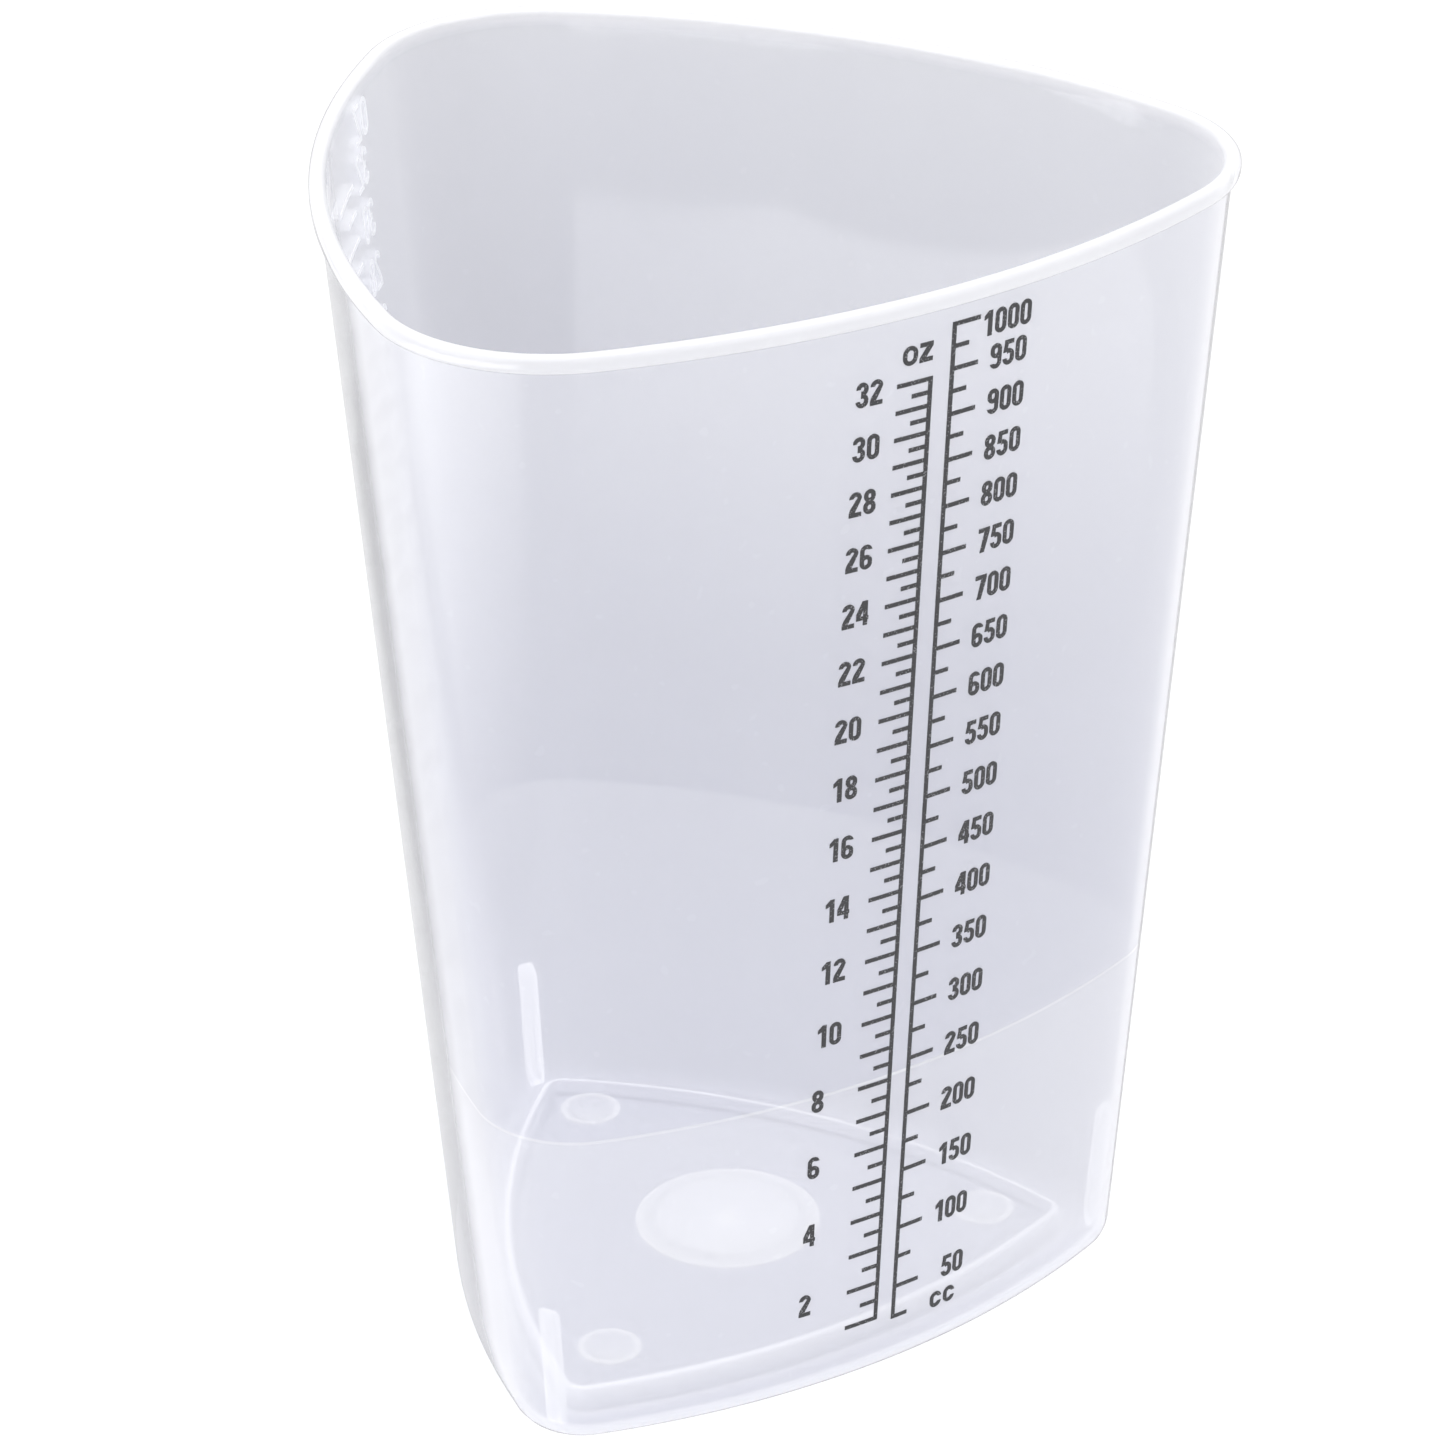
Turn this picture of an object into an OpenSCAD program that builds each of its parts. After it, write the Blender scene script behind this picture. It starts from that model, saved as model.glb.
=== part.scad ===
// Three-sided 1000 cc / 32 oz darkroom graduate: a tapered translucent tumbler with
// convex sides and rounded corners, a beaded rim, a raised floor inside a rounded heel,
// a printed double scale on the front and a moulded ounce scale on the left side.
// Units are mm, +Z is up, and the origin is in the plane it stands on, under the middle of
// its bounding box. The upright axis stands a little nearer the front.
// The front, printed side faces -Y. Its corners are at 90, 210 and 330 degrees.

/* [Body] */
// Height from the table to the top of the rim
body_h = 154.6; // [140:0.2:170]
// Distance from the axis to each corner's arc centre
corner_at = 41.2; // [38:0.1:46]
// Corner radius of the outer wall, at the rim
corner_r = 21.5; // [19:0.1:25]
// Radius of the bowed side, less the corner radius
side_bow = 106.5; // [95:0.5:130]
// Draft of the walls, in degrees from upright
draft = 4.57; // [4:0.01:5]
// Wall thickness below the moulding line
wall_t = 1.2; // [0.8:0.1:1.6]

/* [Rim] */
// How far the rim bead stands out from the wall
bead_out = 0.85; // [0.4:0.05:1.5]
// Height of the rim bead
bead_h = 2.2; // [1.6:0.1:3]

/* [Base] */
// Outer radius of the rounded heel
heel_r = 4.5; // [3:0.1:5]
// Height of the raised floor's upper face
floor_z = 4.7; // [3.6:0.1:5.4]
// Thickness of the raised floor
floor_t = 1.4; // [1:0.1:1.6]
// Distance from the outer wall to the edge of the raised floor
floor_in = 6.2; // [5.8:0.1:6.6]
// Height of the fine line left by the join in the mould core
line_z = 47; // [40:0.5:60]
// Step in the inner wall at that line
line_step = 0.1; // [0.05:0.05:0.3]

/* [Corner ribs] */
// Height of the rib's top
rib_top = 20; // [14:0.5:30]
// Width of a rib
rib_w = 2.2; // [1.5:0.1:3]
// How far a rib stands in from the wall
rib_in = 1.8; // [1:0.1:2.4]

/* [Floor marks] */
// Diameter of the large disc in the middle of the floor
disc_d = 24.5; // [18:0.5:30]
// Diameter of the smaller step on that disc
step_d = 19; // [12:0.5:24]
// Diameter of the round pad near each corner
pad_d = 8.2; // [6:0.2:10]
// Distance from the axis to each pad
pad_at = 34; // [28:0.5:35]

/* [Scales] */
// Thickness of the printed ink
ink_t = 0.1; // [0.05:0.01:0.2]
// Height of the printed numerals
digit_h = 3.25; // [2.5:0.05:3.5]
// Stroke of the printed lines and numerals
ink_w = 0.55; // [0.3:0.05:0.6]
// Height the moulded scale stands out of the wall
raised_t = 0.25; // [0.15:0.05:0.5]
// Height of the moulded numerals
raised_h = 5; // [4:0.1:5.5]

/* [Hidden] */
$fn = 64;
eps = 0.01;
hair = 0.001;
k = tan(draft);
half = asin(corner_at * sin(60) / side_bow);
mid = sqrt(side_bow * side_bow - 0.75 * corner_at * corner_at) - corner_at / 2;
axis_y = (side_bow - mid - corner_at) / 2;
FRONT = -90;
LEFT = 150;
heel_top = 6;
neck_z = body_h - bead_h;
upper_t = wall_t - line_step;
digit_w = 0.5 * digit_h;
gap_w = 0.085 * digit_h;
OZ_CC = 29.5735;
oz_line = -0.9;
cc_line = 0.45;
to_deg = 180 / PI;

// Outer offset from the corner centres at height z
function off(z) = corner_r - k * (body_h - z);
// Area and edge length of the plan shape at an offset o
function core_area() = 3 * side_bow * side_bow * (half / to_deg - sin(half) * cos(half))
  + 0.75 * sqrt(3) * corner_at * corner_at;
function core_edge() = 6 * side_bow * half / to_deg;
function plan_area(o) = core_area() + core_edge() * o + PI * o * o;
// Volume of the inside between two heights, for a wall of thickness t, by Simpson's rule
function slab(a, b, t) = (b - a) / 6000
  * (plan_area(off(a) - t) + 4 * plan_area(off((a + b) / 2) - t) + plan_area(off(b) - t));
// Volume of the channel round the raised floor, as a strip of its mean width
gutter = (floor_in - wall_t - 0.6) * (floor_z - wall_t) / 1000
  * (core_edge() + 2 * PI * (off(0) - 0.5 * (floor_in + wall_t)));
function fill(z) = gutter + (z < line_z
  ? slab(floor_z, z, wall_t)
  : slab(floor_z, line_z, wall_t) + slab(line_z, z, upper_t));
// Height at which the inside holds v cubic centimetres
function level(v, lo = 3, hi = 170, n = 24) = n == 0
  ? (lo + hi) / 2
  : (fill((lo + hi) / 2) < v ? level(v, (lo + hi) / 2, hi, n - 1)
                             : level(v, lo, (lo + hi) / 2, n - 1));
// Degrees round the side's arc for a length along it at height z
function turn(len, z) = len / (side_bow + off(z)) * to_deg;
function digits_of(n) = n < 10 ? [n] : concat(digits_of(floor(n / 10)), [n % 10]);

// ---- solids on the three-sided plan ----

// Moves a thing from the upright axis to its place over the origin
module seat() {
  translate([0, axis_y, 0])
    children();
}

// Carries a section round the plan as six exact segments, three bowed sides and three
// corners, that meet edge to edge: x is measured outward from the corner arc centres
module around() {
  for (i = [0:2]) {
    rotate(FRONT + 120 * i) {
      translate([-mid, 0, 0])
        rotate(hair - half)
          rotate_extrude(angle = 2 * (half - hair))
            translate([side_bow, 0])
              children();
      rotate(60)
        translate([corner_at, 0, 0])
          rotate(half - 60 + hair)
            rotate_extrude(angle = 2 * (60 - half - hair))
              children();
    }
  }
}

// A strip of height 2*hz at height z on a side, from angle a to angle b, t thick
module strip(face, z, hz, a, b, t) {
  r0 = side_bow + off(z - hz);
  r1 = side_bow + off(z + hz);
  rotate(face)
    translate([-mid, 0, 0])
      rotate(a)
        rotate_extrude(angle = b - a)
          polygon([[r0, z - hz], [r0 + t, z - hz], [r1 + t, z + hz], [r1, z + hz]]);
}

// Places a flat thing on a side: x runs to the right, y up the wall, z outward
module on_side(face, len, z) {
  rotate(face)
    translate([-mid, 0, 0])
      rotate(turn(len, z))
        translate([side_bow + off(z), 0, z])
          rotate([0, draft, 0])
            rotate([90, 0, 90])
              children();
}

// ---- figures built from bars and rounded loops ----

module pill(w, h) {
  translate([0, (h - w) / 2])
    circle(w / 2);
  translate([0, (w - h) / 2])
    circle(w / 2);
  square([w, h - w], center = true);
}

module loop(w, h, t) {
  difference() {
    pill(w, h);
    pill(w - 2 * t, h - 2 * t);
  }
}

module block(x0, y0, x1, y1) {
  translate([x0, y0])
    square([x1 - x0, y1 - y0]);
}

module six(w, h, t) {
  difference() {
    loop(w, h, t);
    block(0, -0.2 * h, w, 0.5 * (h - w) + 0.1 * w);
  }
  translate([0, -0.5 * h + 0.29 * h])
    loop(w, 0.58 * h, t);
}

module figure(d, w, h, t) {
  x = w / 2;
  y = h / 2;
  if (d == 0) {
    loop(w, h, t);
  }
  if (d == 1) {
    block(0, -y, t * 1.1, y);
    polygon([[0.05 * w, y], [0.05 * w, y - 1.5 * t], [-0.34 * w, y - 2 * t], [-0.34 * w, y - 1.1 * t]]);
  }
  if (d == 2) {
    difference() {
      translate([0, y - x])
        circle(x);
      translate([0, y - x])
        circle(x - t);
      block(-w, -y, w, y - x);
    }
    polygon([[x - t, y - x + eps], [x, y - x + eps], [x - 0.12 * w, y - x - 0.3 * w],
      [-x + 1.3 * t, -y + t - eps], [-x, -y + t - eps], [-x + 0.1 * w, -y + 1.9 * t]]);
    block(-x, -y, x, -y + t);
  }
  if (d == 3) {
    difference() {
      union() {
        translate([0, 0.24 * h])
          loop(0.96 * w, 0.52 * h, t);
        translate([0, -0.225 * h])
          loop(w, 0.55 * h, t);
      }
      block(-w, -0.24 * h, -0.08 * w, 0.24 * h);
    }
  }
  if (d == 4) {
    block(0.08 * w, -y, 0.08 * w + t, y);
    block(-x, -0.28 * h, x, -0.28 * h + 0.9 * t);
    polygon([[0.08 * w + eps, y], [0.08 * w + eps, y - 1.9 * t], [-x + 0.95 * t, -0.28 * h + 0.9 * t - eps],
      [-x, -0.28 * h + 0.9 * t - eps], [-x, -0.28 * h + 1.5 * t], [-0.02 * w, y]]);
  }
  if (d == 5) {
    block(-0.38 * w, y - t, 0.44 * w, y);
    polygon([[-0.38 * w, y - t + eps], [-0.38 * w + 0.9 * t, y - t + eps], [-x + 1.1 * t, 0.02 * h], [-x + 0.02 * w, 0.02 * h]]);
    difference() {
      translate([0, -0.18 * h])
        loop(w, 0.64 * h, t);
      block(-w, -0.24 * h, -0.12 * w, 0.03 * h);
    }
  }
  if (d == 6) {
    six(w, h, t);
  }
  if (d == 7) {
    block(-x, y - t, x, y);
    polygon([[x, y - t + eps], [x - 1.3 * t, y - t + eps], [-0.3 * w, -y], [-0.3 * w + 1.1 * t, -y]]);
  }
  if (d == 8) {
    translate([0, 0.24 * h])
      loop(0.94 * w, 0.52 * h, t);
    translate([0, -0.225 * h])
      loop(w, 0.55 * h, t);
  }
  if (d == 9) {
    rotate(180)
      six(w, h, t);
  }
}

module letter_c(w, h, t) {
  difference() {
    loop(w, h, t);
    block(0, -0.17 * h, w, 0.17 * h);
  }
}

module letter_z(w, h, t) {
  x = w / 2;
  y = h / 2;
  block(-x, y - t, x, y);
  block(-x, -y, x, -y + t);
  polygon([[x, y - t + eps], [x - 1.5 * t, y - t + eps], [-x, -y + t - eps], [-x + 1.5 * t, -y + t - eps]]);
}

// One number on a side. side = 1 sets its left edge at len, side = -1 its right edge
module number(n, face, len, z, side, h, w, gap, t, thick) {
  ds = digits_of(n);
  count = len(ds);
  for (i = [0:count - 1]) {
    at = side > 0 ? i : i - count;
    on_side(face, len + at * (w + gap) + (side > 0 ? w / 2 : w / 2 + gap), z)
      linear_extrude(thick)
        figure(ds[i], w, h, t);
  }
}

// ---- the moulding ----

// Section of the inside at the heel: down the wall, round the fillet and along the bottom
module heel_inside(x0, top) {
  xc = off(heel_r) - heel_r;
  block(x0, wall_t, xc, top);
  intersection() {
    translate([xc, heel_r])
      circle(heel_r - wall_t);
    block(xc - eps, 0, xc + 2 * heel_r, heel_r);
  }
  polygon([[xc - eps, heel_r - eps], [off(heel_r) - wall_t, heel_r - eps], [off(heel_r) - wall_t, heel_r],
    [off(top) - wall_t, top], [xc - eps, top]]);
}

module side_wall() {
  color([0.90, 0.91, 0.95, 0.45]) seat()
    around()
      polygon([[off(heel_top), heel_top], [off(neck_z), neck_z], [off(neck_z) - upper_t, neck_z],
        [off(line_z) - upper_t, line_z], [off(line_z) - wall_t, line_z], [off(heel_top) - wall_t, heel_top]]);
}

module rim_bead() {
  xi = off(neck_z) - upper_t;
  xo = off(body_h) + bead_out;
  r = 0.4 * (xo - xi);
  color([0.96, 0.96, 0.98, 0.7]) seat()
    around()
      union() {
        block(xi, neck_z, xo - r, body_h - r);
        block(xi + r, body_h - r - eps, xo - r, body_h);
        block(xo - r - eps, neck_z + r, xo, body_h - r);
        translate([xi + r, body_h - r])
          circle(r);
        translate([xo - r, body_h - r])
          circle(r);
        translate([xo - r, neck_z + r])
          circle(r);
      }
}

module base_heel() {
  xc = off(heel_r) - heel_r;
  xr = off(0) - floor_in;
  xa = xr - floor_t;
  color([0.92, 0.93, 0.96, 0.55]) seat()
    around()
      difference() {
        union() {
          block(xa, 0, xc, heel_top);
          intersection() {
            translate([xc, heel_r])
              circle(heel_r);
            block(xc - eps, 0, xc + 2 * heel_r, heel_r);
          }
          polygon([[xc - eps, heel_r - eps], [off(heel_r), heel_r - eps], [off(heel_r), heel_r],
            [off(heel_top), heel_top], [xc - eps, heel_top]]);
        }
        heel_inside(xr, heel_top + 1);
        block(xa - 1, floor_z, xr + eps, heel_top + 1);
      }
}

module raised_floor() {
  o = off(0) - floor_in - floor_t;
  color([0.92, 0.93, 0.96, 0.5]) seat()
    translate([0, 0, floor_z - floor_t])
      linear_extrude(floor_t)
        intersection() {
          circle(corner_at + o - 0.12);
          on_side_arc(0)
            circle(side_bow + o);
          on_side_arc(1)
            circle(side_bow + o);
          on_side_arc(2)
            circle(side_bow + o);
        }
}

// Puts a flat shape on the arc centre of side i
module on_side_arc(i) {
  rotate(FRONT + 120 * i)
    translate([-mid, 0])
      children();
}

module corner_ribs() {
  top_x = off(rib_top) - wall_t;
  low_x = off(heel_r) - wall_t;
  color([0.95, 0.95, 0.98, 0.6]) seat()
    for (i = [0:2])
      rotate(90 + 120 * i)
        translate([corner_at, 0, 0])
          intersection() {
            rotate([90, 0, 0])
              translate([0, 0, -rib_w / 2])
                linear_extrude(rib_w)
                  polygon([[low_x - rib_in, 0], [low_x + 2, 0], [top_x + 2, rib_top],
                    [top_x - 0.4 * rib_in, rib_top], [top_x - rib_in, rib_top - 1.2],
                    [low_x - rib_in, heel_r]]);
            rotate_extrude()
              heel_inside(0, rib_top + 1);
          }
}

module floor_pads() {
  color([0.96, 0.96, 0.98, 0.6]) seat()
    for (i = [0:2])
      rotate(90 + 120 * i)
        translate([pad_at, 0, floor_z])
          difference() {
            cylinder(d = pad_d, h = 0.3);
            translate([0, 0, 0.15])
              cylinder(d = pad_d - 1.6, h = 1);
          }
}

module centre_disc() {
  color([0.96, 0.96, 0.98, 0.6]) seat()
    translate([0, 0, floor_z]) {
      cylinder(d = disc_d, h = 0.3);
      cylinder(d = step_d, h = 0.6);
    }
}

module gate_spot() {
  color([0.85, 0.85, 0.88, 0.7]) seat()
    translate([0, 0, floor_z + 0.6])
      cylinder(d = 2.2, h = 0.3);
}

// ---- the moulded ounce scale on the left side ----

module moulded_marks() {
  color([0.96, 0.96, 0.99, 0.6]) seat()
    for (n = [1:32]) {
      z = level(n * OZ_CC);
      strip(LEFT, z, 0.3, turn(-24, z), turn(n % 2 == 0 ? -13.5 : -18.5, z), raised_t);
    }
}

module moulded_numerals() {
  w = 0.5 * raised_h;
  color([0.96, 0.96, 0.99, 0.6]) seat()
    for (n = [2:2:32])
      number(n, LEFT, -27, level(n * OZ_CC), -1, raised_h, w, 0.5, 0.6, raised_t);
}

module moulded_unit() {
  z = level(33.7 * OZ_CC);
  w = 0.56 * raised_h;
  color([0.96, 0.96, 0.99, 0.6]) seat() {
    on_side(LEFT, -33.5, z)
      linear_extrude(raised_t)
        loop(w, raised_h, 0.6);
    on_side(LEFT, -30, z)
      linear_extrude(raised_t)
        letter_z(w, raised_h, 0.6);
  }
}

// ---- the printed scales on the front ----

// The upright line of a scale, between two volumes
module spine(at, v0, v1) {
  z0 = level(v0) - ink_w / 2;
  z1 = level(v1) + ink_w / 2;
  strip(FRONT, (z0 + z1) / 2, (z1 - z0) / 2, at - turn(ink_w / 2, 80), at + turn(ink_w / 2, 80), ink_t);
}

module oz_marks() {
  color([0.13, 0.13, 0.14]) seat() {
    spine(oz_line, OZ_CC, 32 * OZ_CC);
    for (n = [2:64]) {
      z = level(n / 2 * OZ_CC);
      edge = oz_line - turn(ink_w / 2 + eps, 80);
      strip(FRONT, z, ink_w / 2, edge - turn(n % 2 == 0 ? 4.3 : 2.2, z), edge, ink_t);
    }
  }
}

module oz_numerals() {
  color([0.13, 0.13, 0.14]) seat()
    for (n = [2:2:32])
      number(n, FRONT, -12.7 + 0.01 * (level(n * OZ_CC) - 80), level(n * OZ_CC), 1,
        digit_h, digit_w, gap_w, ink_w, ink_t);
}

module oz_unit() {
  z = level(1000) - 2.6;
  color([0.13, 0.13, 0.14]) seat() {
    on_side(FRONT, -5, z)
      linear_extrude(ink_t)
        loop(2, 2.5, ink_w);
    on_side(FRONT, -2.8, z)
      linear_extrude(ink_t)
        letter_z(1.8, 2.5, ink_w);
  }
}

module cc_marks() {
  color([0.13, 0.13, 0.14]) seat() {
    spine(cc_line, 25, 1000);
    for (n = [1:40]) {
      z = level(25 * n);
      edge = cc_line + turn(ink_w / 2 + eps, 80);
      strip(FRONT, z, ink_w / 2, edge, edge + turn(n % 2 == 0 ? 3.4 : 1.9, z), ink_t);
    }
  }
}

module cc_numerals() {
  color([0.13, 0.13, 0.14]) seat()
    for (n = [50:50:1000])
      number(n, FRONT, n == 1000 ? 12.4 : 12, level(n) - (n == 1000 ? 1.2 : 0), -1,
        digit_h, digit_w, gap_w, ink_w, ink_t);
}

module cc_unit() {
  z = level(25);
  color([0.13, 0.13, 0.14]) seat()
    for (x = [7.8, 10])
      on_side(FRONT, x, z)
        linear_extrude(ink_t)
          letter_c(1.8, 2.4, ink_w);
}

side_wall();
rim_bead();
base_heel();
raised_floor();
corner_ribs();
floor_pads();
centre_disc();
gate_spot();
moulded_marks();
moulded_numerals();
moulded_unit();
oz_marks();
oz_numerals();
oz_unit();
cc_marks();
cc_numerals();
cc_unit();
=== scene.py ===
# %% [markdown]
# # A three-sided darkroom graduate in translucent plastic
# The real thing is one injection moulding in natural polypropylene, a plastic that lets light
# through but clouds it, with a black double scale printed on its front side. Blender only
# makes the looks.

# %% Load the part
import math

import bpy
import numpy as np
from mathutils import Matrix, Vector


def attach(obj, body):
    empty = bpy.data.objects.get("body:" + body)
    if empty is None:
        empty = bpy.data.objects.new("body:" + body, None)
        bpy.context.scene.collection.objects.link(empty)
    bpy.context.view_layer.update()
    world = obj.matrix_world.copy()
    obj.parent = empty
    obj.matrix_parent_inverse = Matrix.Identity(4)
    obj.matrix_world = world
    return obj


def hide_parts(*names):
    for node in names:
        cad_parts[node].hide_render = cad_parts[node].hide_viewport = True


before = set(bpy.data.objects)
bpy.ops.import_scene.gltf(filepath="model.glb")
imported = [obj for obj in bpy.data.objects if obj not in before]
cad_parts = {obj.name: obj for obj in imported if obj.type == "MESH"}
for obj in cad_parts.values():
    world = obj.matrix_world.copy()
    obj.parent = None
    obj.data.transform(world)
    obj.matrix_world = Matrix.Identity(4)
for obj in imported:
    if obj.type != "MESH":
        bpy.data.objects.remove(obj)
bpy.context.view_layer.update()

# %% [markdown]
# ## The plan of the vessel
# Seen from above the graduate is a rounded triangle: three bowed sides and three round
# corners that meet without a kink. Such an outline is easiest to write by the direction in
# which it faces. For every facing angle there is one base point, and the wall lies a set
# distance beyond it along that direction. Moving the whole wall in or out, as the draft of a
# mould does, then only changes that distance.

# %% The plan as base points and facing directions
CORNER_AT, SIDE_BOW = 0.0412, 0.1065
HALF = math.asin(CORNER_AT * math.sin(math.radians(60)) / SIDE_BOW)
MID = math.sqrt(SIDE_BOW**2 - 0.75 * CORNER_AT**2) - CORNER_AT / 2
AXIS_Y = (SIDE_BOW - MID - CORNER_AT) / 2


def facing_angles(per_side, per_corner):
    """Angles of the outward directions, once round: across each bowed side, then round the corner after it."""
    side = np.linspace(-HALF, HALF, per_side, endpoint=False)
    corner = np.linspace(HALF, math.radians(120) - HALF, per_corner, endpoint=False)
    third = np.concatenate([side, corner]) - math.pi / 2
    return (third[None, :] + np.radians([0, 120, 240])[:, None]).ravel()


def plan_base(angle):
    """Base point for each outward angle. On a side it is the arc's centre plus the bow radius times the
    outward direction; on a corner it stays at the corner's own centre."""
    turn = (angle + math.pi / 2 + math.pi / 3) % (2 * math.pi / 3) - math.pi / 3
    face = angle - turn
    out = np.stack([np.cos(angle), np.sin(angle)], -1)
    on_side = -MID * np.stack([np.cos(face), np.sin(face)], -1) + SIDE_BOW * out
    tip = face + np.sign(turn) * math.pi / 3
    on_corner = CORNER_AT * np.stack([np.cos(tip), np.sin(tip)], -1)
    return np.where(np.abs(turn)[:, None] <= HALF + 1e-9, on_side, on_corner), out


angles = facing_angles(72, 48)
base, outward = plan_base(angles)
print("plan points:", len(angles), "reach, mm:", np.round(1000 * np.linalg.norm(base, axis=1).max(), 2))

# %% [markdown]
# ## The section of the vessel
# Cut the wall from rim to foot and the section is one closed line: under the raised floor,
# round the heel, up the outside, over the rim bead, down the inside, along the little channel
# at the foot and across the floor. Sharp mould edges always have a small radius, and that
# radius is what catches light, so each corner of the line is rounded before it is swept.

# %% Helpers for the section
BODY_H, CORNER_R, WALL_T = 0.1546, 0.0215, 0.0012
DRAFT = math.tan(math.radians(4.57))
BEAD_OUT, BEAD_H, HEEL_R = 0.00085, 0.0022, 0.0045
FLOOR_Z, FLOOR_T, FLOOR_IN = 0.0047, 0.0014, 0.0062
LINE_Z, LINE_STEP = 0.047, 0.0001


def wall_at(z):
    """Distance of the outer wall beyond the base points at height z: the rim's, less the draft times the drop."""
    return CORNER_R - DRAFT * (BODY_H - z)


def soften(points, steps=5):
    """Rounds the corners of an open line of (x, z, radius): each corner becomes an arc that starts and ends
    where the radius touches the two legs, which is radius times the tangent of half the turn away."""
    made = [np.array(points[0][:2], float)[None]]
    for a, b, c in zip(points[:-2], points[1:-1], points[2:]):
        a, b, c, r = np.array(a[:2]), np.array(b[:2]), np.array(c[:2]), b[2]
        p, q = (a - b) / np.linalg.norm(a - b), (c - b) / np.linalg.norm(c - b)
        half = math.acos(np.clip(p @ q, -1, 1)) / 2
        if r == 0 or half > math.radians(89.5):
            made.append(b[None])
            continue
        middle = b + (p + q) / np.linalg.norm(p + q) * r / math.sin(half)
        start, end = b + p * r / math.tan(half), b + q * r / math.tan(half)
        t = np.linspace(0, 1, steps)[:, None]
        arc = (start - middle) * (1 - t) + (end - middle) * t
        made.append(middle + arc / np.linalg.norm(arc, axis=1, keepdims=True) * r)
    made.append(np.array(points[-1][:2], float)[None])
    return np.concatenate(made)


def fill_in(line, longest):
    """Adds points to a line so that no step is longer than this, spaced evenly on each leg."""
    counts = np.maximum(1, np.ceil(np.linalg.norm(np.diff(line, axis=0), axis=1) / longest)).astype(int)
    parts = [a + (b - a) * np.linspace(0, 1, n, endpoint=False)[:, None]
             for a, b, n in zip(line[:-1], line[1:], counts)]
    return np.concatenate(parts + [line[-1:]])


# %% [markdown]
# ## The corners of the section
# The line starts under the raised floor and ends on top of it. The numbers are corners before
# rounding, each with its own radius. Four points low on the outside stand close together: they
# change no shape, but give the fine line that the mould leaves there two sharp edges.

# %% The section itself
foot = wall_at(HEEL_R) - HEEL_R
riser_in = wall_at(0) - FLOOR_IN
riser_out = riser_in - FLOOR_T
neck = BODY_H - BEAD_H
bead_in = wall_at(neck) - WALL_T + LINE_STEP
bead_edge = wall_at(BODY_H) + BEAD_OUT
inner = WALL_T - LINE_STEP
section = soften([
    (riser_out, FLOOR_Z - FLOOR_T, 0), (riser_out, 0, 0.0003), (wall_at(0), 0, HEEL_R),
    *((wall_at(LINE_Z + step), LINE_Z + step, 0) for step in (-0.0003, -0.0001, 0.0001, 0.0003)),
    (wall_at(neck - 0.001), neck - 0.001, 0), (wall_at(neck), neck, 0.0002),
    (bead_edge, neck, 0.0009), (bead_edge, BODY_H, 0.0008), (bead_in, BODY_H, 0.0007),
    (bead_in, neck, 0), (wall_at(LINE_Z) - inner, LINE_Z + 0.0002, 0), (wall_at(LINE_Z) - inner, LINE_Z, 0),
    (wall_at(LINE_Z) - WALL_T, LINE_Z - 0.00015, 0), (wall_at(LINE_Z) - WALL_T, LINE_Z - 0.0004, 0),
    (wall_at(WALL_T) - WALL_T, WALL_T, HEEL_R - WALL_T),
    (riser_in, WALL_T, 0.0004), (riser_in, FLOOR_Z, 0.0006), (riser_in - 0.0012, FLOOR_Z, 0)], steps=7)
section = fill_in(section, 0.005)
print("section points:", len(section), "lowest, mm:", round(1000 * section[:, 1].min(), 3))

# %% [markdown]
# ## Sweeping the section round the plan
# The body is a grid with the angle along one way and the section along the other. Both ends
# of the section run on to the middle of the floor, where the ring shrinks to one point. One
# continuous skin matters here: if wall, heel and floor were separate solids, the hidden faces
# between them would show through the plastic. Each point also stores how thick the plastic is
# there, because thicker plastic is cloudier.

# %% Mesh helpers
def new_piece(name, points, faces, smooth=True, **attributes):
    """Puts arrays of points and faces into a mesh object at the origin, with one float attribute per keyword."""
    mesh = bpy.data.meshes.new(name)
    mesh.from_pydata(np.asarray(points).tolist(), [], [list(map(int, f)) for f in faces])
    for key, values in attributes.items():
        mesh.attributes.new(key, "FLOAT", "POINT").data.foreach_set("value", np.asarray(values, np.float32))
    mesh.polygons.foreach_set("use_smooth", np.full(len(mesh.polygons), smooth))
    mesh.validate()
    mesh.update()
    piece = bpy.data.objects.new(name, mesh)
    bpy.context.scene.collection.objects.link(piece)
    return piece


def closed_faces(rows, columns):
    """Faces of a grid that closes on itself along its columns: quads between rows, then a fan at each end.
    The middle points of the two fans come after the grid's own points."""
    last, step = rows * columns, np.arange(columns)
    after = (step + 1) % columns
    r, c = np.meshgrid(np.arange(rows - 1), step, indexing="ij")
    a, b = r * columns + c, r * columns + (c + 1) % columns
    quads = np.stack([a, b, b + columns, a + columns], -1).reshape(-1, 4)
    start = np.stack([np.full(columns, last), after, step], -1)
    end = np.stack([np.full(columns, last + 1), last - columns + step, last - columns + after], -1)
    return quads.tolist() + start.tolist() + end.tolist()


def swept(line, shrink, pole_z):
    """Points of a section carried round the plan: base point plus outward distance along the facing direction,
    drawn towards the axis by each row's shrink, then one closing point at each end of the section."""
    ring = base[None] + line[:, 0, None, None] * outward[None]
    ring = ring * shrink[:, None, None]
    z = np.broadcast_to(line[:, 1, None, None], ring.shape[:2] + (1,))
    points = np.concatenate([ring, z], -1).reshape(-1, 3)
    poles = np.array([[0, 0, pole_z[0]], [0, 0, pole_z[1]]])
    return np.concatenate([points, poles]) + [0, AXIS_Y, 0]
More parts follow.
